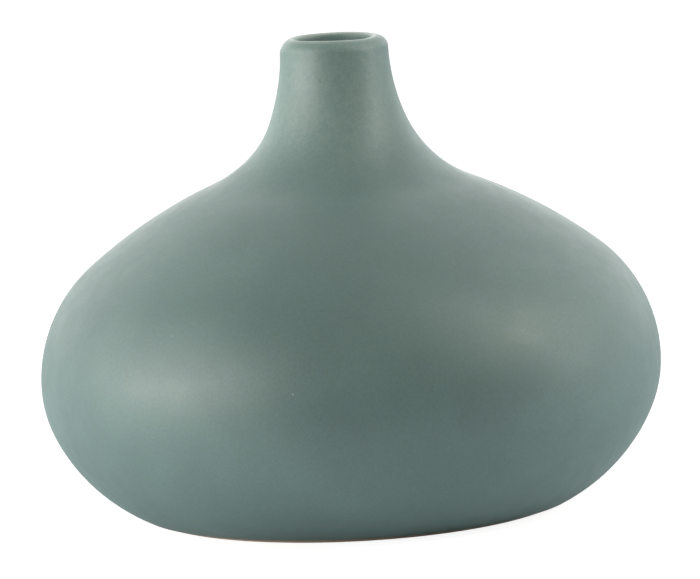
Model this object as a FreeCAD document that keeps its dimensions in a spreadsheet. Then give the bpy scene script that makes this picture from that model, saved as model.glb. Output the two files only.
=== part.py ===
import FreeCAD, Part
import math
import os
import Sketcher

# A squat slip-cast stoneware vase with a narrow neck, and the fired glaze coats on it.
# Every piece is a ring or a dish about one upright axis, so each is a closed half-section turned
# about that axis. The frame stands at the centre of the ground, +Z up, in millimetres.

# "Finished" means measured over the fired glaze. Values named share are ratios.
SIZES = {
    "height": 160.0,  # ground to the crest of the rim
    "belly_diameter": 210.0,  # finished, at the widest level
    "belly_height": 47.3,  # ground to the widest level
    "neck_diameter": 36.6,  # finished, just under the rounded rim
    "clay_wall": 4.5,  # even all over, as slip casting leaves it
    "glaze": 0.4,  # thickness of each fired coat
    "glaze_over_rim": 12.0,  # how far below the crest the outer glaze ends inside the neck
    "glaze_line": 0.5,  # ground to the lower edge of the outer glaze
    "foot_radius": 67.0,  # outer edge of the flat ring that meets the ground
    "foot_round": 10.0,  # rounding from that ring up into the wall, in bare clay
    "foot_land": 6.0,  # width of the flat ground ring
    "foot_inner_round": 1.0,  # rounding of the ring's inner edge
    "recess_depth": 2.5,  # ground to the clay of the underside panel
    "floor_round": 6.0,  # inside corner between the clay floor and the wall
    "crest_share": 0.72,  # the crest's place across the full wall, from the outside
    "shoulder_reach_share": 0.308,  # where neck turns into shoulder: share of the way out
    "shoulder_rise_share": 0.58,  # and share of the way up from the widest level to the rim
    "shoulder_degrees": 67.3,  # how far from upright the wall leans there
    "blend_share": 0.69,  # where a blend's arcs meet: share of the turn to its chord's lean
    "foot_blend_share": 0.6779,  # the foot's blend: how far short of that lean they meet
}

# Sizes that follow from those, each written once and read by every section that needs it.
FULL_WALL = "(sizes.clay_wall + 2 * sizes.glaze)"
CLAY_DEPTH = "sizes.glaze"
NECK_RADIUS = "sizes.neck_diameter / 2"
BELLY_RADIUS = "sizes.belly_diameter / 2"
RIM_ROUND = "sizes.crest_share * " + FULL_WALL
INNER_RIM_ROUND = "(1 - sizes.crest_share) * " + FULL_WALL
RIM_LEVEL = "(sizes.height - " + RIM_ROUND + ")"
INNER_RIM_LEVEL = "sizes.height - " + INNER_RIM_ROUND
CREST_RADIUS = NECK_RADIUS + " - " + RIM_ROUND
SHOULDER_REACH = (
    NECK_RADIUS + " + sizes.shoulder_reach_share * (sizes.belly_diameter - sizes.neck_diameter) / 2"
)
SHOULDER_LEVEL = (
    "sizes.belly_height + sizes.shoulder_rise_share * (" + RIM_LEVEL + " - sizes.belly_height)"
)
GLAZE_STOP_LEVEL = "sizes.height - sizes.glaze_over_rim"
FOOT_COAT_ROUND = "sizes.foot_round + sizes.glaze"
FOOT_EDGE_RADIUS = (
    "sizes.foot_radius + sqrt((" + FOOT_COAT_ROUND + ")^2 - (sizes.foot_round - sizes.glaze_line)^2)"
)
LAND_INNER_RADIUS = "sizes.foot_radius - sizes.foot_land"
RECESS_CORNER_RADIUS = LAND_INNER_RADIUS + " - sizes.recess_depth"
FLOOR_LEVEL = "sizes.recess_depth + sizes.clay_wall"
FLOOR_CORNER_LEVEL = FLOOR_LEVEL + " + sizes.floor_round"

# The arcs of the finished outside, from the crest down to under the foot. Three pairs of them
# are blends, and each pair meets where the wall has the lean given here for its upper arc. The
# foot's pair meets nearer to its chord's lean as that nears the foot's own, on a wider belly.
OUTSIDE = ["rim", "flare", "root", "shoulder", "upper_belly", "lower_belly", "lower_wall", "foot"]
NECK_CHORD_LEAN = (
    "atan((" + SHOULDER_REACH + " - " + NECK_RADIUS + ") / (" + RIM_LEVEL + " - (" + SHOULDER_LEVEL + ")))"
)
CROWN_CHORD_LEAN = (
    "atan((" + BELLY_RADIUS + " - (" + SHOULDER_REACH + ")) / (" + SHOULDER_LEVEL + " - sizes.belly_height))"
)
FOOT_CHORD_LEAN = (
    "-atan((" + BELLY_RADIUS + " - (" + FOOT_EDGE_RADIUS + ")) / (sizes.belly_height - sizes.glaze_line))"
)
FOOT_EDGE_LEAN = "-asin((sizes.foot_round - sizes.glaze_line) / (" + FOOT_COAT_ROUND + "))"
BLEND_LEANS = {
    "flare": "sizes.blend_share * " + NECK_CHORD_LEAN,
    "shoulder": (
        "sizes.shoulder_degrees * 1 deg * (1 - sizes.blend_share) + sizes.blend_share * " + CROWN_CHORD_LEAN
    ),
    "lower_belly": (
        "(" + FOOT_CHORD_LEAN + ") * (1 - sizes.foot_blend_share * "
        "(1 - (" + FOOT_CHORD_LEAN + ") / (" + FOOT_EDGE_LEAN + ")))"
    ),
}

# Leans of the wall: the angle from straight down as one walks down the outside, positive where
# the walk leads outwards. The outward normal is then (cos lean, sin lean).
UPRIGHT = 0.0
LEVEL_OUTWARD = math.pi / 2
LEVEL_INWARD = -math.pi / 2
UPRIGHT_INSIDE = math.pi


class Arc:
    """An arc of the wall. Its radius is negative where the wall is hollow."""

    def __init__(self, centre, radius, first_lean, last_lean):
        self.centre = centre
        self.radius = radius
        self.first_lean = first_lean
        self.last_lean = last_lean

    def point(self, lean):
        return (
            self.centre[0] + self.radius * math.cos(lean),
            self.centre[1] + self.radius * math.sin(lean),
        )

    def lean_at(self, level):
        return math.asin((level - self.centre[1]) / self.radius)

    def deeper(self, depth):
        return Arc(self.centre, self.radius - depth, self.first_lean, self.last_lean)


def blend(first, first_lean, meeting_lean, last, last_lean):
    """Two arcs with the given ends that meet smoothly where the wall has the meeting lean."""

    def step(lean, other):
        return math.cos(other) - math.cos(lean), math.sin(other) - math.sin(lean)

    upper, lower = step(first_lean, meeting_lean), step(meeting_lean, last_lean)
    gap = last[0] - first[0], last[1] - first[1]
    spread = upper[0] * lower[1] - upper[1] * lower[0]
    upper_radius = (gap[0] * lower[1] - gap[1] * lower[0]) / spread
    lower_radius = (upper[0] * gap[1] - upper[1] * gap[0]) / spread
    upper_centre = (
        first[0] - upper_radius * math.cos(first_lean),
        first[1] - upper_radius * math.sin(first_lean),
    )
    lower_centre = (
        last[0] - lower_radius * math.cos(last_lean),
        last[1] - lower_radius * math.sin(last_lean),
    )
    return (
        Arc(upper_centre, upper_radius, first_lean, meeting_lean),
        Arc(lower_centre, lower_radius, meeting_lean, last_lean),
    )


def finished_outside(size):
    rim_edge = size(NECK_RADIUS), size(RIM_LEVEL)
    turn = size(SHOULDER_REACH), size(SHOULDER_LEVEL)
    turn_lean = math.radians(size("sizes.shoulder_degrees"))
    widest = size(BELLY_RADIUS), size("sizes.belly_height")
    foot_centre = size("sizes.foot_radius"), size("sizes.foot_round")
    rim = Arc((size(CREST_RADIUS), rim_edge[1]), size(RIM_ROUND), LEVEL_OUTWARD, UPRIGHT)
    foot = Arc(foot_centre, size(FOOT_COAT_ROUND), UPRIGHT, LEVEL_INWARD)
    foot.first_lean = foot.lean_at(size("sizes.glaze_line"))
    leans = {name: math.radians(size(formula)) for name, formula in BLEND_LEANS.items()}
    flare, root = blend(rim_edge, UPRIGHT, leans["flare"], turn, turn_lean)
    shoulder, upper_belly = blend(turn, turn_lean, leans["shoulder"], widest, UPRIGHT)
    lower_belly, lower_wall = blend(
        widest, UPRIGHT, leans["lower_belly"], foot.point(foot.first_lean), foot.first_lean
    )
    arcs = rim, flare, root, shoulder, upper_belly, lower_belly, lower_wall, foot
    return dict(zip(OUTSIDE, arcs))


class Section:
    """A closed half-section, sketched on its body's upright plane and turned about the axis.

    An end of a line or arc is a pair: its number in the sketch, and 1 for its start or 2 for its
    end. An arc's centre is (number, 3), the sketch's origin is (-1, 1) and its upright axis is -2.
    What draws an arc or a line returns its first end and its last end.
    """

    def __init__(self, doc, label):
        self.body = doc.addObject("PartDesign::Body", label)
        self.body.Label = label
        self.sketch = self.body.newObject("Sketcher::SketchObject", label + "_section")
        plane = next(item for item in self.body.Origin.OriginFeatures if item.Role == "XZ_Plane")
        self.sketch.AttachmentSupport = [(plane, "")]
        self.sketch.MapMode = "FlatFace"
        self.rules = []
        self.sized_rules = []

    def size(self, formula):
        return float(self.sketch.evalExpression(formula))

    def place(self, end):
        point = self.sketch.getPoint(*end)
        return point.x, point.y

    def centre(self, end):
        return end[0], 3

    def arc(self, arc, guide=False):
        turned = UPRIGHT if arc.radius > 0 else UPRIGHT_INSIDE
        angles = arc.first_lean + turned, arc.last_lean + turned
        centre = FreeCAD.Vector(arc.centre[0], arc.centre[1], 0)
        circle = Part.Circle(centre, FreeCAD.Vector(0, 0, 1), abs(arc.radius))
        number = self.sketch.addGeometry(Part.ArcOfCircle(circle, min(angles), max(angles)), guide)
        start, end = (number, 1), (number, 2)
        return (start, end) if angles[0] < angles[1] else (end, start)

    def line(self, first, last, guide=False):
        ends = (FreeCAD.Vector(point[0], point[1], 0) for point in (first, last))
        number = self.sketch.addGeometry(Part.LineSegment(*ends), guide)
        return (number, 1), (number, 2)

    def link(self, first, last, guide=False):
        """A straight line between two ends that are there already. Returns its number."""
        ends = self.line(self.place(first), self.place(last), guide)
        self.meet(ends[0], first)
        self.meet(ends[1], last)
        return ends[0][0]

    def rule(self, kind, *parts):
        numbers = []
        for part in parts:
            numbers.extend(part if isinstance(part, tuple) else (part,))
        self.rules.append(Sketcher.Constraint(kind, *numbers))

    def sized_rule(self, kind, name, formula, *parts):
        self.sized_rules.append((len(self.rules), name, formula))
        value = self.size(formula)
        self.rule(kind, *parts, math.radians(value) if kind == "Angle" else value)

    def meet(self, end, other):
        self.rule("Coincident", end, other)

    def smooth(self, end, other):
        self.rule("Tangent", end, other)

    def level_with_centre(self, end):
        self.rule("Horizontal", end, self.centre(end))

    def plumb_with_centre(self, end):
        self.rule("Vertical", end, self.centre(end))

    def on_axis(self, end):
        self.rule("PointOnObject", end, -2)

    def out(self, name, end, formula):
        self.sized_rule("DistanceX", name, formula, (-1, 1), end)

    def up(self, name, end, formula):
        self.sized_rule("DistanceY", name, formula, (-1, 1), end)

    def draw_outside(self, in_outline=()):
        """Draws the finished outside with its sizes. Arcs not named in_outline are guides."""
        self.arcs = finished_outside(self.size)
        ends = {name: self.arc(arc, name not in in_outline) for name, arc in self.arcs.items()}
        for upper, lower in zip(OUTSIDE, OUTSIDE[1:]):
            self.smooth(ends[upper][1], ends[lower][0])
        crest, rim_edge = ends["rim"]
        turn = ends["root"][1]
        widest = ends["upper_belly"][1]
        foot_edge, foot_bottom = ends["foot"]
        self.plumb_with_centre(crest)
        self.level_with_centre(rim_edge)
        self.level_with_centre(widest)
        self.plumb_with_centre(foot_bottom)
        self.up("crest_level", crest, "sizes.height")
        self.out("crest_radius", crest, CREST_RADIUS)
        self.out("neck_radius", rim_edge, NECK_RADIUS)
        self.out("shoulder_reach", turn, SHOULDER_REACH)
        self.up("shoulder_level", turn, SHOULDER_LEVEL)
        self.out("belly_radius", widest, BELLY_RADIUS)
        self.up("belly_level", widest, "sizes.belly_height")
        self.up("glaze_line", foot_edge, "sizes.glaze_line")
        self.out("foot_radius", self.centre(foot_edge), "sizes.foot_radius")
        self.up("foot_centre_level", self.centre(foot_edge), "sizes.foot_round")
        self.sized_rule("Radius", "foot_coat_round", FOOT_COAT_ROUND, foot_edge[0])
        self.lean("root", turn, "sizes.shoulder_degrees")
        for name, formula in BLEND_LEANS.items():
            self.lean(name, ends[name][1], formula)
        self.outside = ends

    def lean(self, arc_name, end, formula):
        """Holds the wall's lean at an arc's end, with a guide along the outward normal."""
        hollow = self.arcs[arc_name].radius < 0
        spoke = (end, self.centre(end)) if hollow else (self.centre(end), end)
        self.sized_rule("Angle", arc_name + "_last_lean", formula, self.link(*spoke, guide=True))

    def wall(self, name, depth, first_name, last_name, first_level=None, last_lean=None):
        """Arcs parallel to the outside, that deep under it, from one named arc to another.

        The first one starts at first_level, and the last one ends at last_lean, where given.
        """
        names = OUTSIDE[OUTSIDE.index(first_name):OUTSIDE.index(last_name) + 1]
        arcs = [self.arcs[arc_name].deeper(self.size(depth)) for arc_name in names]
        if first_level:
            arcs[0].first_lean = arcs[0].lean_at(self.size(first_level))
        if last_lean is not None:
            arcs[-1].last_lean = last_lean
        ends = [self.arc(arc) for arc in arcs]
        for arc_name, arc_ends in zip(names, ends):
            self.meet(self.centre(arc_ends[0]), self.centre(self.outside[arc_name][0]))
        for upper, lower in zip(ends, ends[1:]):
            self.smooth(upper[1], lower[0])
        widest = ends[names.index("upper_belly")][1]
        self.out(name + "_belly_radius", widest, BELLY_RADIUS + " - (" + depth + ")")
        if first_level:
            self.up(name + "_first_level", ends[0][0], first_level)
        return ends[0][0], ends[-1][1]

    def solid(self):
        """Applies the rules and turns the section about the axis. Returns the body."""
        self.sketch.addConstraint(self.rules)
        for number, name, formula in self.sized_rules:
            self.sketch.renameConstraint(number, name)
            self.sketch.setExpression("Constraints." + name, formula)
        turned = self.body.newObject("PartDesign::Revolution", self.body.Name + "_turned")
        turned.Profile = self.sketch
        turned.ReferenceAxis = (self.sketch, ["V_Axis"])
        self.body.Tip = turned
        return self.body


# Stretches of outline that several pieces have.


def inner_rim(section, name, depth):
    """The rim's inner edge, that deep under the finish. Returns its crest end and its bore end."""
    centre = section.size(CREST_RADIUS), section.size(INNER_RIM_LEVEL)
    radius = section.size(INNER_RIM_ROUND) - section.size(depth)
    crest, bore = section.arc(Arc(centre, radius, LEVEL_OUTWARD, UPRIGHT_INSIDE))
    section.rule("Vertical", section.centre(crest), section.centre(section.outside["rim"][0]))
    section.up(name + "_level", section.centre(crest), INNER_RIM_LEVEL)
    section.level_with_centre(bore)
    return crest, bore


def cavity(section, name, coat, first_level=None):
    """The hollow's wall, rounded corner and flat floor, with that much coat on the clay.

    Returns the wall's upper end and the floor's end on the axis.
    """
    depth = CLAY_DEPTH + " + sizes.clay_wall + " + coat
    round_formula = "sizes.floor_round - " + coat
    radius = section.size(round_formula)
    level = section.size(FLOOR_CORNER_LEVEL)
    for wall_name in ("lower_wall", "lower_belly"):
        wall = section.arcs[wall_name].deeper(section.size(depth))
        pitch_circle = wall.deeper(radius)
        lean = pitch_circle.lean_at(level)
        if lean < wall.first_lean:
            break
    centre = pitch_circle.point(lean)
    wall_top, wall_foot = section.wall(name, depth, "flare", wall_name, first_level, lean)
    corner_top, corner_foot = section.arc(Arc(centre, radius, lean, LEVEL_INWARD))
    floor_edge, floor_middle = section.line((centre[0], level - radius), (0, level - radius))
    section.smooth(wall_foot, corner_top)
    section.sized_rule("Radius", name + "_corner", round_formula, corner_top[0])
    section.smooth(corner_foot, floor_edge)
    section.rule("Horizontal", floor_edge[0])
    section.on_axis(floor_middle)
    section.up(name + "_floor_level", floor_middle, FLOOR_LEVEL + " + " + coat)
    return wall_top, floor_middle


def bore_wall(section, name, coat):
    """The flared wall just inside the mouth, down to where the outer glaze ends."""
    depth = CLAY_DEPTH + " + sizes.clay_wall + " + coat
    arc = section.arcs["flare"].deeper(section.size(depth))
    arc.last_lean = arc.lean_at(section.size(GLAZE_STOP_LEVEL))
    top, stop = section.arc(arc)
    section.meet(section.centre(top), section.centre(section.outside["flare"][0]))
    section.level_with_centre(top)
    section.out(name + "_radius", top, NECK_RADIUS + " - (" + depth + ")")
    section.up(name + "_stop_level", stop, GLAZE_STOP_LEVEL)
    return top, stop


def recess(section, name, coat):
    """The underside's corner and panel, with that much coat under the clay.

    Returns the corner's end at the foot ring and the panel's end on the axis.
    """
    centre = section.size(RECESS_CORNER_RADIUS), section.size("sizes.foot_inner_round")
    level_formula = "sizes.recess_depth - " + coat
    level = section.size(level_formula)
    corner_foot, corner_top = section.arc(Arc(centre, centre[1] - level, -UPRIGHT_INSIDE, LEVEL_INWARD))
    section.level_with_centre(corner_foot)
    section.plumb_with_centre(corner_top)
    section.out(name + "_corner_radius", section.centre(corner_foot), RECESS_CORNER_RADIUS)
    section.up(name + "_corner_level", section.centre(corner_foot), "sizes.foot_inner_round")
    section.up(name + "_level", corner_top, level_formula)
    panel_edge, panel_middle = section.line((centre[0], level), (0, level))
    section.meet(panel_edge, corner_top)
    section.rule("Horizontal", panel_edge[0])
    section.on_axis(panel_middle)
    return corner_foot, panel_middle


# The pieces.


def stoneware_body(doc):
    """One cast wall: rim, neck, shoulder, belly, foot ring and recessed underside."""
    section = Section(doc, "stoneware_body")
    section.draw_outside()
    crest, ground_edge = section.wall("clay", CLAY_DEPTH, "rim", "foot")
    section.plumb_with_centre(crest)
    section.plumb_with_centre(ground_edge)
    inner_crest, bore = inner_rim(section, "inner_rim", CLAY_DEPTH)
    section.meet(inner_crest, crest)
    cavity_top, floor_middle = cavity(section, "cavity", "0")
    section.level_with_centre(cavity_top)
    section.link(bore, cavity_top)

    land_outer, land_inner = section.line(section.place(ground_edge), (section.size(LAND_INNER_RADIUS), 0))
    section.meet(land_outer, ground_edge)
    section.rule("Horizontal", land_outer[0])
    section.out("land_inner_radius", land_inner, LAND_INNER_RADIUS)
    radius = section.size("sizes.foot_inner_round")
    centre = section.size(LAND_INNER_RADIUS), radius
    ring_foot, ring_top = section.arc(Arc(centre, radius, LEVEL_INWARD, -UPRIGHT_INSIDE))
    section.smooth(land_inner, ring_foot)
    corner_foot, panel_middle = recess(section, "recess", "0")
    section.meet(ring_top, corner_foot)
    section.link(panel_middle, floor_middle)
    return section.solid()


def outer_glaze(doc):
    """The green coat: over the outside and the rim, and a little way down inside the neck."""
    section = Section(doc, "outer_glaze")
    section.draw_outside(in_outline=OUTSIDE[:-1])
    crest, lower_edge = section.outside["rim"][0], section.outside["lower_wall"][1]
    inner_crest, bore = inner_rim(section, "inner_rim", "0")
    section.meet(inner_crest, crest)
    bore_top, bore_stop = bore_wall(section, "bore", "sizes.glaze")
    section.link(bore, bore_top)

    clay_crest, clay_edge = section.wall("clay", CLAY_DEPTH, "rim", "lower_wall")
    section.plumb_with_centre(clay_crest)
    clay_inner_crest, clay_bore = inner_rim(section, "clay_inner_rim", CLAY_DEPTH)
    section.meet(clay_inner_crest, clay_crest)
    clay_bore_top, clay_bore_stop = bore_wall(section, "clay_bore", "0")
    section.link(clay_bore, clay_bore_top)

    section.link(bore_stop, clay_bore_stop)
    section.link(lower_edge, clay_edge)
    spoke = section.link(clay_edge, section.centre(clay_edge), guide=True)
    section.rule("PointOnObject", lower_edge, spoke)
    return section.solid()


def inner_glaze(doc):
    """The liner coat: the rest of the inside, from the outer glaze's end down over the floor."""
    section = Section(doc, "inner_glaze")
    section.draw_outside()
    clay_top, clay_floor = cavity(section, "clay", "0", GLAZE_STOP_LEVEL)
    open_top, open_floor = cavity(section, "open", "sizes.glaze", GLAZE_STOP_LEVEL)
    section.link(clay_top, open_top)
    section.link(clay_floor, open_floor)
    return section.solid()


def base_glaze(doc):
    """The coat on the underside panel and its corner, clear of the ground ring."""
    section = Section(doc, "base_glaze")
    clay_corner, clay_middle = recess(section, "clay", "0")
    open_corner, open_middle = recess(section, "open", "sizes.glaze")
    section.link(clay_corner, open_corner)
    section.link(clay_middle, open_middle)
    return section.solid()


def check(doc, bodies):
    for item in doc.Objects:
        if "Invalid" in item.State or "Error" in item.State:
            raise RuntimeError(f"{item.Label} could not be built: {item.State}")
        if item.TypeId == "Sketcher::SketchObject" and not item.FullyConstrained:
            raise RuntimeError(f"{item.Label} has {item.DoF} free sizes")
    for body in bodies:
        shape = body.Shape
        if shape.isNull() or not shape.isValid() or len(shape.Solids) != 1:
            raise RuntimeError(f"{body.Label} is not one valid solid")


def main():
    doc = FreeCAD.newDocument("vase")
    sheet = doc.addObject("Spreadsheet::Sheet", "sizes")
    for row, (name, value) in enumerate(SIZES.items(), start=1):
        sheet.set(f"A{row}", name)
        sheet.set(f"B{row}", str(value))
        sheet.setAlias(f"B{row}", name)
    doc.recompute()
    bodies = [make(doc) for make in (stoneware_body, outer_glaze, inner_glaze, base_glaze)]
    doc.recompute()
    check(doc, bodies)
    os.makedirs("parts", exist_ok=True)
    for body in bodies:
        body.Shape.exportStep(f"parts/{body.Label}.step")
        box = body.Shape.optimalBoundingBox()
        print(f"{body.Label}: {body.Shape.Volume:.0f} mm3, {box.XLength:.2f} mm across, "
              f"from {box.ZMin:.2f} to {box.ZMax:.2f} mm up")


main()
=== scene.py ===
import math
import bpy
from mathutils import Matrix, Vector


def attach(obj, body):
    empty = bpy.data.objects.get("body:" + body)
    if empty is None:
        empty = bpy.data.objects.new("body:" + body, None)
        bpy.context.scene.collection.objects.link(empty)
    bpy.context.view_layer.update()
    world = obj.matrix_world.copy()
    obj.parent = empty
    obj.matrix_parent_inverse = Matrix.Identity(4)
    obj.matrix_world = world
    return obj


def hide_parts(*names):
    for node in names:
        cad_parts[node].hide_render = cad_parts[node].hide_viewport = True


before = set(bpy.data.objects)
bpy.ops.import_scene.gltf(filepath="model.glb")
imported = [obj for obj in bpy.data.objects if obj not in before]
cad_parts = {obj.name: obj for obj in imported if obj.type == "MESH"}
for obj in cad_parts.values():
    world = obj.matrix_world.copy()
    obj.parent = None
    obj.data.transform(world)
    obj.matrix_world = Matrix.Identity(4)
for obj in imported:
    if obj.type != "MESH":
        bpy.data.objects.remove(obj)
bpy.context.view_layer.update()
mm = 0.001

# The wall that every piece shares, in millimetres. Finished means measured over the fired glaze.
vaseForm = {
    "height": 160.0,
    "bellyRadius": 105.0,  # finished, at the widest level
    "bellyLevel": 47.3,
    "neckRadius": 18.3,  # finished, just under the rounded rim
    "clayWall": 4.5,
    "coat": 0.4,  # each fired coat
    "coatOverRim": 12.0,  # how far the green coat runs down inside the neck
    "coatLine": 0.5,  # ground to the green coat's lower edge
    "footRadius": 67.0,
    "footRound": 10.0,
    "footLand": 6.0,
    "footInnerRound": 1.0,
    "recessDepth": 2.5,
    "floorRound": 6.0,
    "crestShare": 0.72,
    "shoulderReachShare": 0.308,
    "shoulderRiseShare": 0.58,
    "shoulderLean": math.radians(67.3),
    "blendShare": 0.69,  # where a blend's two arcs meet, as a share of the turn to its chord
}
# How finely the outline is drawn, in radians and millimetres, and spun
walkSteps = {"turn": math.radians(5), "length": 3.0, "round": 256, "shortest": 0.01, "weld": 0.004}
panelShares = (0.85, 0.6, 0.35, 0.15, 0.0)  # the rings of a flat panel, as shares of its radius
outward, upright, inward, insideUpright = math.pi / 2, 0.0, -math.pi / 2, math.pi


# An arc of the outline: centre, signed radius (negative where hollow), and the leans at its two
# ends. A lean is the angle from straight down as one walks down the outside, outwards positive.
def arcPoint(arc, lean, depth=0.0):
    return (arc[0] + (arc[2] - depth) * math.cos(lean), arc[1] + (arc[2] - depth) * math.sin(lean))


def leanAt(arc, level, depth=0.0):
    return math.asin((level - arc[1]) / (arc[2] - depth))


def arcThrough(point, radius, lean):
    return (point[0] - radius * math.cos(lean), point[1] - radius * math.sin(lean), radius)


def blendArcs(first, firstLean, last, lastLean):
    # two arcs that meet where the wall has turned blendShare of the way to the chord's lean
    chordLean = math.atan2(last[0] - first[0], first[1] - last[1])
    meet = firstLean + vaseForm["blendShare"] * (chordLean - firstLean)
    upper = (math.cos(meet) - math.cos(firstLean), math.sin(meet) - math.sin(firstLean))
    lower = (math.cos(lastLean) - math.cos(meet), math.sin(lastLean) - math.sin(meet))
    gap = (last[0] - first[0], last[1] - first[1])
    spread = upper[0] * lower[1] - upper[1] * lower[0]
    upperRadius = (gap[0] * lower[1] - gap[1] * lower[0]) / spread
    lowerRadius = (upper[0] * gap[1] - upper[1] * gap[0]) / spread
    return [arcThrough(first, upperRadius, firstLean) + (firstLean, meet),
            arcThrough(last, lowerRadius, lastLean) + (meet, lastLean)]


def outsideArcs(form):
    wall = form["clayWall"] + 2 * form["coat"]
    rimRound = form["crestShare"] * wall
    rimLevel = form["height"] - rimRound
    rim = (form["neckRadius"] - rimRound, rimLevel, rimRound, outward, upright)
    reach = form["shoulderReachShare"] * (form["bellyRadius"] - form["neckRadius"])
    rise = form["shoulderRiseShare"] * (rimLevel - form["bellyLevel"])
    turn = (form["neckRadius"] + reach, form["bellyLevel"] + rise)
    widest = (form["bellyRadius"], form["bellyLevel"])
    foot = (form["footRadius"], form["footRound"], form["footRound"] + form["coat"])
    footLean = leanAt(foot, form["coatLine"])
    return ([rim] + blendArcs((form["neckRadius"], rimLevel), upright, turn, form["shoulderLean"])
            + blendArcs(turn, form["shoulderLean"], widest, upright)
            + blendArcs(widest, upright, arcPoint(foot, footLean), footLean)
            + [foot + (footLean, inward)])


def walkArc(arc, depth=0.0, firstLean=None, lastLean=None):
    first = arc[3] if firstLean is None else firstLean
    last = arc[4] if lastLean is None else lastLean
    turn = last - first
    length = abs((arc[2] - depth) * turn)
    count = max(2, math.ceil(abs(turn) / walkSteps["turn"]), math.ceil(length / walkSteps["length"]))
    return [arcPoint(arc, first + turn * step / count, depth) for step in range(count + 1)]


def walkWall(arcs, depth):
    return [point for arc in arcs for point in walkArc(arc, depth)]


vaseArcs = outsideArcs(vaseForm)
fullWall = vaseForm["clayWall"] + 2 * vaseForm["coat"]
innerRimRound = (1 - vaseForm["crestShare"]) * fullWall
innerRim = (vaseArcs[0][0], vaseForm["height"] - innerRimRound, innerRimRound, outward, insideUpright)
coatStopLevel = vaseForm["height"] - vaseForm["coatOverRim"]
print("outline of the vase worked out")


# Pieces. Each outline is drawn point by point from one corner and spun round the axis.
def weldPoints():
    bpy.ops.mesh.select_all(action="SELECT")
    bpy.ops.mesh.remove_doubles(threshold=walkSteps["weld"] * mm)
    bpy.ops.mesh.select_all(action="SELECT")


def spunPiece(name, outline):
    bpy.ops.object.select_all(action="DESELECT")
    bpy.ops.mesh.primitive_plane_add(size=0.01, location=(0, 0, 0))
    piece = bpy.context.object
    piece.name = piece.data.name = name
    bpy.ops.object.mode_set(mode="EDIT")
    bpy.ops.mesh.select_all(action="SELECT")
    bpy.ops.mesh.merge(type="CENTER")
    shortest = walkSteps["shortest"] * mm
    walk = [Vector((radius * mm, 0, level * mm)) for radius, level in outline]
    steps = zip(walk, walk[1:])
    walk = [walk[0]] + [point for before, point in steps if (point - before).length > shortest]
    walk.append(walk[0])
    bpy.ops.transform.translate(value=walk[0])
    for before, point in zip(walk, walk[1:]):
        bpy.ops.mesh.extrude_region_move(TRANSFORM_OT_translate={"value": point - before})
    weldPoints()
    bpy.ops.mesh.spin(steps=walkSteps["round"], angle=2 * math.pi, center=(0, 0, 0), axis=(0, 0, 1))
    weldPoints()
    bpy.ops.mesh.normals_make_consistent(inside=False)
    bpy.ops.object.mode_set(mode="OBJECT")
    return piece


# A cast vase sags a little in the kiln. Three lattices pull every piece the same way: over the
# whole vase, over the rim, and where the neck flares. A move, in millimetres across and up, is
# given for a lattice point's column and row, and for its layer from the front where it isn't all
# of them.
kilnSag = {
    "wholeLattice": {
        "low": (-105.0, -105.0, 0.0), "high": (105.0, 105.0, 160.0), "points": (5, 3, 9),
        "moves": {(1, 6): (0.0, 1.2), (1, 7): (1.2, 0.0), (1, 8): (-0.8, 0.0), (3, 6): (0.0, -1.0),
                  (3, 5): (0.0, -0.3), (0, 4): (0.5, 0.0), (0, 3): (0.3, 0.0)},
    },
    "rimLattice": {
        "low": (-21.0, -20.0, 132.0), "high": (21.0, 20.0, 160.0), "points": (9, 3, 4),
        "moves": {(0, 3): (0.3, -3.6), (4, 3): (-0.2, 0.0), (5, 3): (-0.8, 0.0), (6, 3): (-1.1, 0.0),
                  (7, 3): (-0.4, 0.0), (8, 3): (0.3, 0.0),
                  (5, 3, 0): (0.0, -0.2), (6, 3, 0): (0.0, -1.0), (7, 3, 0): (0.0, -1.3)},
    },
    "neckLattice": {
        "low": (-40.0, -40.0, 105.0), "high": (40.0, 40.0, 150.0), "points": (5, 3, 4),
        "moves": {(1, 1): (2.5, 0.0), (1, 2): (-1.05, 0.0), (1, 3): (0.1, 0.0)},
    },
}


def addLattice(name, look):
    low, high = Vector(look["low"]) * mm, Vector(look["high"]) * mm
    bpy.ops.object.select_all(action="DESELECT")
    bpy.ops.object.add(type="LATTICE", location=(low + high) / 2)
    cage = bpy.context.object
    cage.name = name
    cage.scale = high - low
    cage.data.points_u, cage.data.points_v, cage.data.points_w = look["points"]
    wide, deep = look["points"][:2]
    for (column, row, *layers), (across, up) in look["moves"].items():
        move = Vector((across * mm / cage.scale.x, 0, up * mm / cage.scale.z))
        for layer in layers or range(deep):
            point = cage.data.points[column + wide * (layer + deep * row)]
            point.co_deform = point.co_deform + move
    return cage


sagCages = [addLattice(name, look) for name, look in kilnSag.items()]
sharpFrom = math.radians(38)  # edges sharper than that stay sharp in the shading


def makeUneven(piece):
    bpy.ops.object.select_all(action="DESELECT")
    piece.select_set(True)
    bpy.context.view_layer.objects.active = piece
    for cage in sagCages:
        sag = piece.modifiers.new(cage.name, "LATTICE")
        sag.object = cage
        bpy.ops.object.modifier_apply(modifier=sag.name)
    bpy.ops.object.shade_smooth_by_angle(angle=sharpFrom)


def finishPiece(piece, node, material):
    makeUneven(piece)
    piece.data.materials.clear()
    piece.data.materials.append(material)
    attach(piece, "root")
    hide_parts(node)
    print(piece.name, "made,", len(piece.data.polygons), "faces")


# Materials
def fromHex(text):
    channels = [int(text[place:place + 2], 16) / 255 for place in (0, 2, 4)]
    return tuple(c / 12.92 if c <= 0.04045 else ((c + 0.055) / 1.055) ** 2.4 for c in channels) + (1.0,)


def addNode(tree, kind, inputs=None, links=None, **settings):
    node = tree.nodes.new(kind)
    for name, value in settings.items():
        setattr(node, name, value)
    for name, value in (inputs or {}).items():
        node.inputs[name].default_value = value
    for name, source in (links or {}).items():
        tree.links.new(source, node.inputs[name])
    return node


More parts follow.
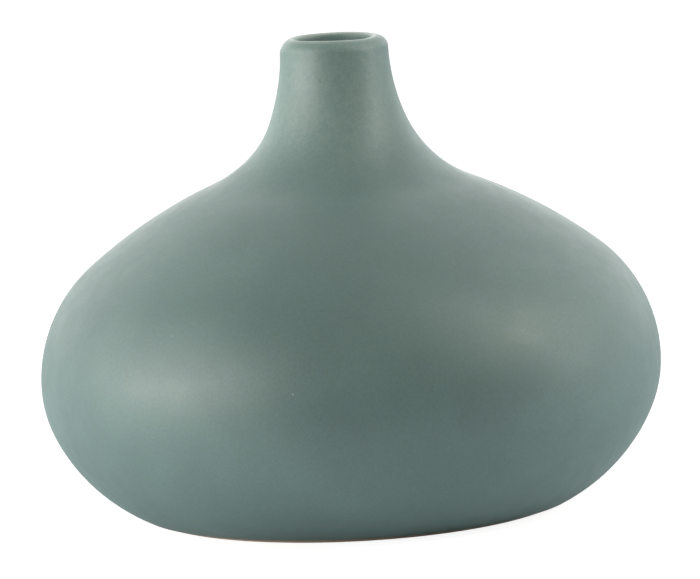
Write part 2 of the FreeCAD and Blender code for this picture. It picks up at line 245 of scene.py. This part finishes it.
def newMaterial(name):
    material = bpy.data.materials.new(name)
    material.use_nodes = True
    material.node_tree.nodes.clear()
    return material, material.node_tree


def perMetre(size):
    # a texture's scale for a pattern of that size in millimetres
    return 1000.0 / size


def mixColours(tree, share, first, second, blendType="MIX"):
    # first and second are hex colours or sockets, share is a socket or a number
    node = addNode(tree, "ShaderNodeMixRGB", blend_type=blendType)
    for socket, value in (("Fac", share), ("Color1", first), ("Color2", second)):
        if isinstance(value, bpy.types.NodeSocket):
            tree.links.new(value, node.inputs[socket])
        else:
            node.inputs[socket].default_value = fromHex(value) if isinstance(value, str) else value
    return node.outputs["Color"]


def ramp(tree, source, low, high, atLow=0.0, atHigh=1.0):
    limits = {"From Min": low, "From Max": high, "To Min": atLow, "To Max": atHigh}
    node = addNode(tree, "ShaderNodeMapRange", limits, {"Value": source},
                   interpolation_type="SMOOTHSTEP")
    return node.outputs["Result"]


def arithmetic(tree, operation, first, second):
    # both are sockets or numbers
    node = addNode(tree, "ShaderNodeMath", operation=operation)
    for number, value in enumerate((first, second)):
        if isinstance(value, bpy.types.NodeSocket):
            tree.links.new(value, node.inputs[number])
        else:
            node.inputs[number].default_value = value
    return node.outputs["Value"]


def noise(tree, place, size, detail=2.0, spread=0.5):
    pattern = {"Scale": perMetre(size), "Detail": detail, "Roughness": spread}
    return addNode(tree, "ShaderNodeTexNoise", pattern, {"Vector": place}).outputs["Fac"]


def bump(tree, height, strength, distance, under=None, invert=False):
    links = {"Height": height} if under is None else {"Height": height, "Normal": under}
    settings = {"Strength": strength, "Distance": distance}
    return addNode(tree, "ShaderNodeBump", settings, links, invert=invert).outputs["Normal"]


def specks(tree, place, apart, smallest, largest, share):
    # round spots between those sizes, in millimetres, in that share of the cells
    cells = addNode(tree, "ShaderNodeTexVoronoi", {"Scale": perMetre(apart), "Randomness": 1.0},
                    {"Vector": place})
    chances = addNode(tree, "ShaderNodeSeparateColor", {}, {"Color": cells.outputs["Color"]})
    chance = chances.outputs["Red"]
    size = ramp(tree, chance, 1.0 - share, 1.0, smallest / 2 / apart, largest / 2 / apart)
    chosen = arithmetic(tree, "GREATER_THAN", chance, 1.0 - share)
    inside = arithmetic(tree, "SUBTRACT", size, cells.outputs["Distance"])
    edge = ramp(tree, inside, 0.0, smallest / 4 / apart)
    return arithmetic(tree, "MULTIPLY", chosen, edge)


# Satin-matt celadon glaze, sprayed and fired to cone 8: its microcrystals scatter the light, so the
# highlights are broad and soft. The colour is a little cloudy with the coat's thickness, finely
# mottled green and blue, with a few iron specks and burst pinholes, whose pale colour is a painted
# glint.
# Pattern sizes are in millimetres; levels, radii and depths are in metres.
glazeLook = {
    "green": "6a817b",
    "deepGreen": "657b76",
    "cloud": 38.0,
    # painted light: the steep neck is painted lighter towards the top, less so on its right side, which
    # is painted shade
    "neckPaintedLight": "839a93",
    "neckPaintedLightShare": 0.82,
    "neckPaintedLightLevels": (0.104, 0.138),
    "neckShadedSideLightShare": 0.25,
    "neckShadedSide": (0.012, 0.019),
    "blueGreen": "678083",
    "mottle": 2.6,
    "mottleShare": 0.25,
    "grain": 0.8,
    "grainShare": 0.05,
    # specks and pinholes: millimetres apart, smallest, largest, share of the places
    "speck": "4a5652",
    "specks": (5.2, 0.35, 0.7, 0.04),
    # the pinholes' pale colour is a painted glint; their pits are real, in the bump
    "pinholePaintedGlint": "b3bdb6",
    "pinholes": (9.5, 0.35, 0.6, 0.07),
    "pinholeDepth": 0.00006,
    # the crest of the rim is painted lighter, partly for the molten coat running thin over it and
    # partly as a painted highlight; its tighter inner edge gets a paler painted highlight of its own
    "crestThinCoatAndHighlight": "84958c",
    "crestThinCoatAndHighlightShare": 0.6,
    "crestThinCoatAndHighlightLevels": (0.1585, 0.1600),
    "rimWaver": 0.0003,
    # painted highlight: a pale line along the rim's tighter inner edge
    "innerEdgePaintedHighlight": "b9c5be",
    "innerEdgePaintedHighlightShare": 0.7,
    "innerEdgePaintedHighlightLevels": (0.1591, 0.1598),
    "innerEdgePaintedHighlightRadii": (0.0142, 0.0148),
    "roughness": 0.48,
    "roughnessSpread": 0.03,
    "peel": 4.5,  # the sprayed coat's faint orange peel
    "peelDepth": 0.00002,
    "fine": 0.7,
    "fineDepth": 0.000008,
}
linerLook = dict(glazeLook, green="667b75", deepGreen="5d716b", roughness=0.44)


def satinMattGlaze(name, look):
    material, tree = newMaterial(name)
    place = addNode(tree, "ShaderNodeTexCoord").outputs["Object"]
    spot = addNode(tree, "ShaderNodeSeparateXYZ", {}, {"Vector": place})
    level = spot.outputs["Z"]
    cloud = ramp(tree, noise(tree, place, look["cloud"]), 0.36, 0.64)
    colour = mixColours(tree, cloud, look["deepGreen"], look["green"])

    # painted light up the neck, cut back on its right side as painted shade
    neckPaintedLight = ramp(tree, level, *look["neckPaintedLightLevels"], 0.0, look["neckPaintedLightShare"])
    neckLightBySide = ramp(tree, spot.outputs["X"], *look["neckShadedSide"], 1.0, look["neckShadedSideLightShare"])
    colour = mixColours(tree, arithmetic(tree, "MULTIPLY", neckPaintedLight, neckLightBySide), colour, look["neckPaintedLight"])

    patches = ramp(tree, noise(tree, place, look["mottle"], 3.0, 0.6), 0.38, 0.66,
                   0.0, look["mottleShare"])
    colour = mixColours(tree, patches, colour, look["blueGreen"])
    grain = ramp(tree, noise(tree, place, look["grain"], 1.0), 0.3, 0.7,
                 1.0 - look["grainShare"], 1.0 + look["grainShare"])
    shade = addNode(tree, "ShaderNodeCombineColor", {}, {"Red": grain, "Green": grain, "Blue": grain})
    colour = mixColours(tree, 1.0, colour, shade.outputs["Color"], "MULTIPLY")
    colour = mixColours(tree, specks(tree, place, *look["specks"]), colour, look["speck"])
    hole = specks(tree, place, *look["pinholes"])
    # pinholes painted pale as glints
    colour = mixColours(tree, hole, colour, look["pinholePaintedGlint"])

    # the crest painted lighter: partly the coat running thin, partly a painted highlight
    waver = ramp(tree, noise(tree, place, 3.0), 0.3, 0.7, -look["rimWaver"], look["rimWaver"])
    crestThinAndLit = ramp(tree, arithmetic(tree, "ADD", level, waver), *look["crestThinCoatAndHighlightLevels"],
                  0.0, look["crestThinCoatAndHighlightShare"])
    colour = mixColours(tree, crestThinAndLit, colour, look["crestThinCoatAndHighlight"])
    # painted highlight along the inner edge of the crest, between the radii given
    across = addNode(tree, "ShaderNodeVectorMath", {1: (1.0, 1.0, 0.0)}, {0: place},
                     operation="MULTIPLY")
    radius = addNode(tree, "ShaderNodeVectorMath", {}, {0: across.outputs["Vector"]},
                     operation="LENGTH")
    inner = ramp(tree, radius.outputs["Value"], *look["innerEdgePaintedHighlightRadii"], 1.0, 0.0)
    crest = ramp(tree, level, *look["innerEdgePaintedHighlightLevels"], 0.0, look["innerEdgePaintedHighlightShare"])
    colour = mixColours(tree, arithmetic(tree, "MULTIPLY", inner, crest), colour, look["innerEdgePaintedHighlight"])

    middle, spread = look["roughness"], look["roughnessSpread"]
    gloss = ramp(tree, noise(tree, place, 6.0, 3.0), 0.3, 0.7, middle - spread, middle + spread)
    peel = bump(tree, noise(tree, place, look["peel"]), 0.35, look["peelDepth"])
    fine = bump(tree, noise(tree, place, look["fine"], 1.0), 0.3, look["fineDepth"], peel)
    pits = bump(tree, hole, 0.8, look["pinholeDepth"], fine, True)
    surface = addNode(tree, "ShaderNodeBsdfPrincipled", {"IOR": 1.5},
                      {"Base Color": colour, "Roughness": gloss, "Normal": pits})
    addNode(tree, "ShaderNodeOutputMaterial", {}, {"Surface": surface.outputs["BSDF"]})
    return material


# Fired stoneware, left bare where the foot was wiped and ground: dry, buff and grainy, with fine
# grit and a browner flash next to the glaze. Units as in the glaze's look.
clayLook = {
    "buff": "d2bca3",
    "pale": "dccbb5",
    "cloud": 9.0,
    "grit": "7d6a58",
    "gritSpecks": (1.6, 0.25, 0.6, 0.22),
    "flash": "bb9c84",
    "flashShare": 0.6,
    "flashLevels": (0.0002, 0.0011),
    "grain": 0.6,
    "grainDepth": 0.00005,
    "roughness": 0.88,
}


def bareStoneware(name, look):
    material, tree = newMaterial(name)
    place = addNode(tree, "ShaderNodeTexCoord").outputs["Object"]
    level = addNode(tree, "ShaderNodeSeparateXYZ", {}, {"Vector": place}).outputs["Z"]
    cloud = ramp(tree, noise(tree, place, look["cloud"], 3.0), 0.35, 0.65)
    colour = mixColours(tree, cloud, look["buff"], look["pale"])
    colour = mixColours(tree, specks(tree, place, *look["gritSpecks"]), colour, look["grit"])
    flash = ramp(tree, level, *look["flashLevels"], 0.0, look["flashShare"])
    colour = mixColours(tree, flash, colour, look["flash"])
    grain = bump(tree, noise(tree, place, look["grain"], 3.0, 0.6), 0.6, look["grainDepth"])
    surface = addNode(tree, "ShaderNodeBsdfPrincipled", {"Roughness": look["roughness"], "IOR": 1.5},
                      {"Base Color": colour, "Normal": grain})
    addNode(tree, "ShaderNodeOutputMaterial", {}, {"Surface": surface.outputs["BSDF"]})
    return material


greenGlaze = satinMattGlaze("satinMattGreenGlaze", glazeLook)
linerGlaze = satinMattGlaze("linerGreenGlaze", linerLook)
bareClay = bareStoneware("bareFiredStoneware", clayLook)
print("finishes mixed")


# The green coat over the outside, the rim and the top of the bore
outerCoat = {
    "wipedLevel": 1.7,  # its edge is wiped back to that level above the ground
    "beadRound": 0.18,
    "beadSteps": 6,
}


def coatEnd(arc, lean):
    # the coat's lower edge, rounded where the wet glaze drew back, from the finish to the clay
    coat = vaseForm["coat"]
    along = (math.sin(lean), -math.cos(lean))  # the way down the wall
    points = []
    for step in range(outerCoat["beadSteps"] + 1):
        turn = math.pi * step / outerCoat["beadSteps"]
        depth = coat / 2 - coat / 2 * math.cos(turn)
        pull = outerCoat["beadRound"] * (1 - math.sin(turn))
        base = arcPoint(arc, lean, depth)
        points.append((base[0] - along[0] * pull, base[1] - along[1] * pull))
    return points


def buildOuterGlaze():
    coat, wall = vaseForm["coat"], vaseForm["coat"] + vaseForm["clayWall"]
    flare = vaseArcs[1]
    lastArc = vaseArcs[-2]
    wipedLean = leanAt(lastArc, outerCoat["wipedLevel"])
    outside = vaseArcs[:-2] + [lastArc[:4] + (wipedLean,)]
    boreFinish = walkArc(flare, fullWall, upright, leanAt(flare, coatStopLevel, fullWall))
    boreClay = walkArc(flare, wall, upright, leanAt(flare, coatStopLevel, wall))
    outline = boreFinish[::-1] + walkArc(innerRim)[::-1] + walkWall(outside, 0.0)[:-1]
    outline += coatEnd(lastArc, wipedLean)
    outline += walkWall(outside, coat)[::-1][1:] + walkArc(innerRim, coat) + boreClay
    return spunPiece("greenGlazeCoat", outline)


finishPiece(buildOuterGlaze(), "outer_glaze", greenGlaze)


# The cast clay wall with its bare ground foot ring and recessed underside
def cavityWalk(depth, coat, firstLevel):
    # the hollow's wall from firstLevel down, its rounded corner and its flat floor
    radius = vaseForm["floorRound"] - coat
    cornerLevel = vaseForm["recessDepth"] + vaseForm["clayWall"] + vaseForm["floorRound"]
    for number in (6, 5):
        lean = leanAt(vaseArcs[number], cornerLevel, depth + radius)
        if lean < vaseArcs[number][3]:
            break
    centre = arcPoint(vaseArcs[number], lean, depth + radius)
    flare = vaseArcs[1]
    firstLean = upright if firstLevel is None else leanAt(flare, firstLevel, depth)
    points = walkArc(flare, depth, firstLean)
    points += walkWall(vaseArcs[2:number], depth)
    points += walkArc(vaseArcs[number], depth, None, lean)
    points += walkArc((centre[0], centre[1], radius, lean, inward))
    floorLevel = cornerLevel - radius
    return points + [(centre[0] * share, floorLevel) for share in panelShares]


def recessWalk(coat):
    # the underside's corner and panel, from the ring inwards
    landInner = vaseForm["footRadius"] - vaseForm["footLand"]
    centre = (landInner - vaseForm["recessDepth"], vaseForm["footInnerRound"])
    level = vaseForm["recessDepth"] - coat
    radius = level - centre[1]
    points = [(centre[0] + radius * math.cos(turn), centre[1] + radius * math.sin(turn))
              for turn in (math.radians(15 * step) for step in range(7))]
    return points + [(centre[0] * share, level) for share in panelShares]


def buildClay():
    coat = vaseForm["coat"]
    depth = coat + vaseForm["clayWall"]
    landInner = vaseForm["footRadius"] - vaseForm["footLand"]
    inner = vaseForm["footInnerRound"]
    ring = walkArc((landInner, inner, inner, inward, -insideUpright))
    outline = cavityWalk(depth, 0.0, None)[::-1] + walkArc(innerRim, coat)[::-1]
    outline += walkWall(vaseArcs, coat) + ring + recessWalk(0.0)
    return spunPiece("castClayWall", outline)


finishPiece(buildClay(), "stoneware_body", bareClay)


# The liner glaze poured into the inside
def buildLiner():
    coat, clayDepth = vaseForm["coat"], vaseForm["coat"] + vaseForm["clayWall"]
    finish = cavityWalk(clayDepth + coat, coat, coatStopLevel)
    clay = cavityWalk(clayDepth, 0.0, coatStopLevel)
    return spunPiece("linerGlazeCoat", finish + clay[::-1])


finishPiece(buildLiner(), "inner_glaze", linerGlaze)


# The coat on the underside, inside the bare ring
def buildBaseGlaze():
    return spunPiece("undersideGlazeCoat", recessWalk(0.0) + recessWalk(vaseForm["coat"])[::-1])


finishPiece(buildBaseGlaze(), "base_glaze", greenGlaze)
for cage in sagCages:
    bpy.data.objects.remove(cage)


# Studio: a pale floor, a bright wall behind and large softboxes at both sides. Nothing lights the
# vase from straight above or from the camera's side.
studioLook = {
    "floorSize": 14.0,
    "floorFront": 0.22,  # the table ends that far in front of the vase
    "floorPale": "e9f1f7",
    "floorShade": 0.32,  # how much of the floor's own light and shadow the camera sees on its white
    "softboxDistance": 1.3,
    "softboxAim": 0.08,
    # azimuth from the camera's side, right positive; elevation; width; height; radiance; colour
    "softboxes": {
        "leftSoftbox": (-58, 9, 0.56, 0.48, 10.3, "fffaf5"),
        "leftNearBox": (-46, 22, 0.5, 0.4, 2.7, "ffffff"),
        "leftHighBox": (-80, 32, 0.7, 0.5, 2.7, "ffffff"),
        "leftSideBox": (-92, 10, 0.5, 0.5, 2.8, "fff6f3"),
        "leftLowStrip": (-78, 4, 0.5, 0.16, 13.2, "fff7f3"),
        "rightSoftbox": (76, 29, 0.6, 0.5, 7.9, "fffaf2"),
        "rightHighBox": (72, 54, 0.6, 0.5, 3.3, "ffffff"),
        "rightSideBox": (95, 10, 0.5, 0.5, 0.4, "ffffff"),
        "rightLowStrip": (88, 4, 0.5, 0.16, 6.8, "ffffff"),
    },
    # azimuth, elevation, full within that angle, gone at that angle, radiance
    "wallGlows": [(180, 16, 22, 62, 1.6), (180, 4, 4, 14, 2.7), (-125, 10, 10, 35, 0.9),
                  (125, 10, 10, 35, 1.0), (110, 50, 10, 32, 0.4)],
}


def buildFloor():
    bpy.ops.object.select_all(action="DESELECT")
    bpy.ops.mesh.primitive_plane_add(size=studioLook["floorSize"], location=(0, 0, 0))
    bpy.ops.object.mode_set(mode="EDIT")
    bpy.ops.mesh.select_all(action="SELECT")
    bpy.ops.transform.translate(value=(0, studioLook["floorSize"] / 2 - studioLook["floorFront"], 0))
    bpy.ops.object.mode_set(mode="OBJECT")
    floor = bpy.context.object
    floor.name = "studioFloor"
    material, tree = newMaterial("paleStudioSweep")
    rays = addNode(tree, "ShaderNodeLightPath")
    matt = addNode(tree, "ShaderNodeBsdfDiffuse", {"Color": fromHex(studioLook["floorPale"])})
    shade = studioLook["floorShade"]
    # a floor lit to a third of white or more is brought up to full white by the shadow's share
    white = addNode(tree, "ShaderNodeEmission", {"Color": (1, 1, 1, 1), "Strength": 1.0 - shade / 3})
    shadow = addNode(tree, "ShaderNodeBsdfDiffuse", {"Color": (shade, shade, shade, 1.0)})
    backdrop = addNode(tree, "ShaderNodeAddShader")
    tree.links.new(white.outputs["Emission"], backdrop.inputs[0])
    tree.links.new(shadow.outputs["BSDF"], backdrop.inputs[1])
    seen = addNode(tree, "ShaderNodeMixShader", {}, {"Fac": rays.outputs["Is Camera Ray"]})
    tree.links.new(matt.outputs["BSDF"], seen.inputs[1])
    tree.links.new(backdrop.outputs["Shader"], seen.inputs[2])
    addNode(tree, "ShaderNodeOutputMaterial", {}, {"Surface": seen.outputs["Shader"]})
    floor.data.materials.append(material)


def towards(azimuth, elevation):
    turn, rise = math.radians(azimuth), math.radians(elevation)
    return Vector((math.sin(turn) * math.cos(rise), -math.cos(turn) * math.cos(rise), math.sin(rise)))


def wallGlow(tree, place, azimuth, elevation, full, gone, radiance):
    near = addNode(tree, "ShaderNodeVectorMath", {}, {0: place}, operation="DOT_PRODUCT")
    near.inputs[1].default_value = towards(azimuth, elevation)
    edges = [math.cos(math.radians(angle)) for angle in (gone, full)]
    return ramp(tree, near.outputs["Value"], *edges, 0.0, radiance)


def buildSurround():
    world = bpy.context.scene.world or bpy.data.worlds.new("studioSurround")
    bpy.context.scene.world = world
    world.use_nodes = True
    tree = world.node_tree
    tree.nodes.clear()
    rays = addNode(tree, "ShaderNodeLightPath")
    place = addNode(tree, "ShaderNodeTexCoord").outputs["Generated"]
    glows = [wallGlow(tree, place, *look) for look in studioLook["wallGlows"]]
    total = glows[0]
    for glow in glows[1:]:
        total = arithmetic(tree, "ADD", total, glow)
    wall = addNode(tree, "ShaderNodeBackground", {"Color": (1, 1, 1, 1)}, {"Strength": total})
    white = addNode(tree, "ShaderNodeBackground", {"Color": (1, 1, 1, 1), "Strength": 1.0})
    seen = addNode(tree, "ShaderNodeMixShader", {}, {"Fac": rays.outputs["Is Camera Ray"]})
    tree.links.new(wall.outputs["Background"], seen.inputs[1])
    tree.links.new(white.outputs["Background"], seen.inputs[2])
    addNode(tree, "ShaderNodeOutputWorld", {}, {"Surface": seen.outputs["Shader"]})


def addSoftbox(name, azimuth, elevation, width, height, radiance, colour):
    place = towards(azimuth, elevation)
    lamp = bpy.data.lights.new(name, "AREA")
    lamp.shape = "RECTANGLE"
    lamp.size, lamp.size_y = width, height
    lamp.energy = radiance * width * height * math.pi
    lamp.color = fromHex(colour)[:3]
    box = bpy.data.objects.new(name, lamp)
    bpy.context.scene.collection.objects.link(box)
    box.location = Vector((0, 0, studioLook["softboxAim"])) + place * studioLook["softboxDistance"]
    box.rotation_euler = place.to_track_quat("Z", "Y").to_euler()


buildFloor()
buildSurround()
for boxName, boxLook in studioLook["softboxes"].items():
    addSoftbox(boxName, *boxLook)
print("studio lit")


# Camera: solved from the photograph, in metres, degrees and millimetres of lens. It is rolled, so the
# vase seems to lean a little.
cameraPlace = {
    "distance": 2.0,
    "aimLevel": 0.08,
    "elevation": 7.91,
    "roll": 3.05,
    "lens": 304.35,
    "sensor": 36.0,
    "aimBelow": 0.1701,
    "aimRight": 0.0407,
}


def buildCamera():
    rise = math.radians(cameraPlace["elevation"])
    view = bpy.data.cameras.new("photoCamera")
    view.lens, view.sensor_width = cameraPlace["lens"], cameraPlace["sensor"]
    view.clip_start, view.clip_end = 0.05, 50.0
    camera = bpy.data.objects.new("photoCamera", view)
    bpy.context.scene.collection.objects.link(camera)
    away = Vector((0, -math.cos(rise), math.sin(rise))) * cameraPlace["distance"]
    camera.matrix_world = (
        Matrix.Translation(away + Vector((0, 0, cameraPlace["aimLevel"])))
        @ Matrix.Rotation(math.pi / 2 - rise, 4, "X")
        @ Matrix.Rotation(-math.radians(cameraPlace["roll"]), 4, "Z")
        @ Matrix.Rotation(-math.radians(cameraPlace["aimBelow"]), 4, "X")
        @ Matrix.Rotation(-math.radians(cameraPlace["aimRight"]), 4, "Y")
    )
    bpy.context.scene.camera = camera


buildCamera()
bpy.context.scene.view_settings.view_transform = "Standard"
print("camera placed")
